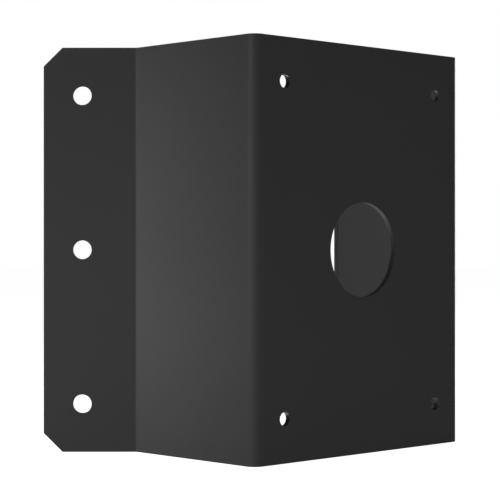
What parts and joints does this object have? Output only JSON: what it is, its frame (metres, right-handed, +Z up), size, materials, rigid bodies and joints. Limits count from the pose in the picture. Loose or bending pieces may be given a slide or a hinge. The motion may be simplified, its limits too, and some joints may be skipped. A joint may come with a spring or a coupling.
{
  "type": "camera corner mount bracket",
  "caption": "Folded sheet-steel bracket that wraps an outside building corner and carries a camera on its flat front plate, with flanges for wall screws and a central cable hole.",
  "frame": {"origin": "middle of the cable hole, on the front face of the front plate", "axes": "+X along the front plate, +Y back into the building's corner, +Z up; the camera looks along -Y"},
  "size_m": [0.2296, 0.1274, 0.215],
  "materials": {
    "powder_coat": "satin"
  },
  "bodies": {
    "root": {"corner_bracket": "powder_coat"}
  },
  "joints": []
}
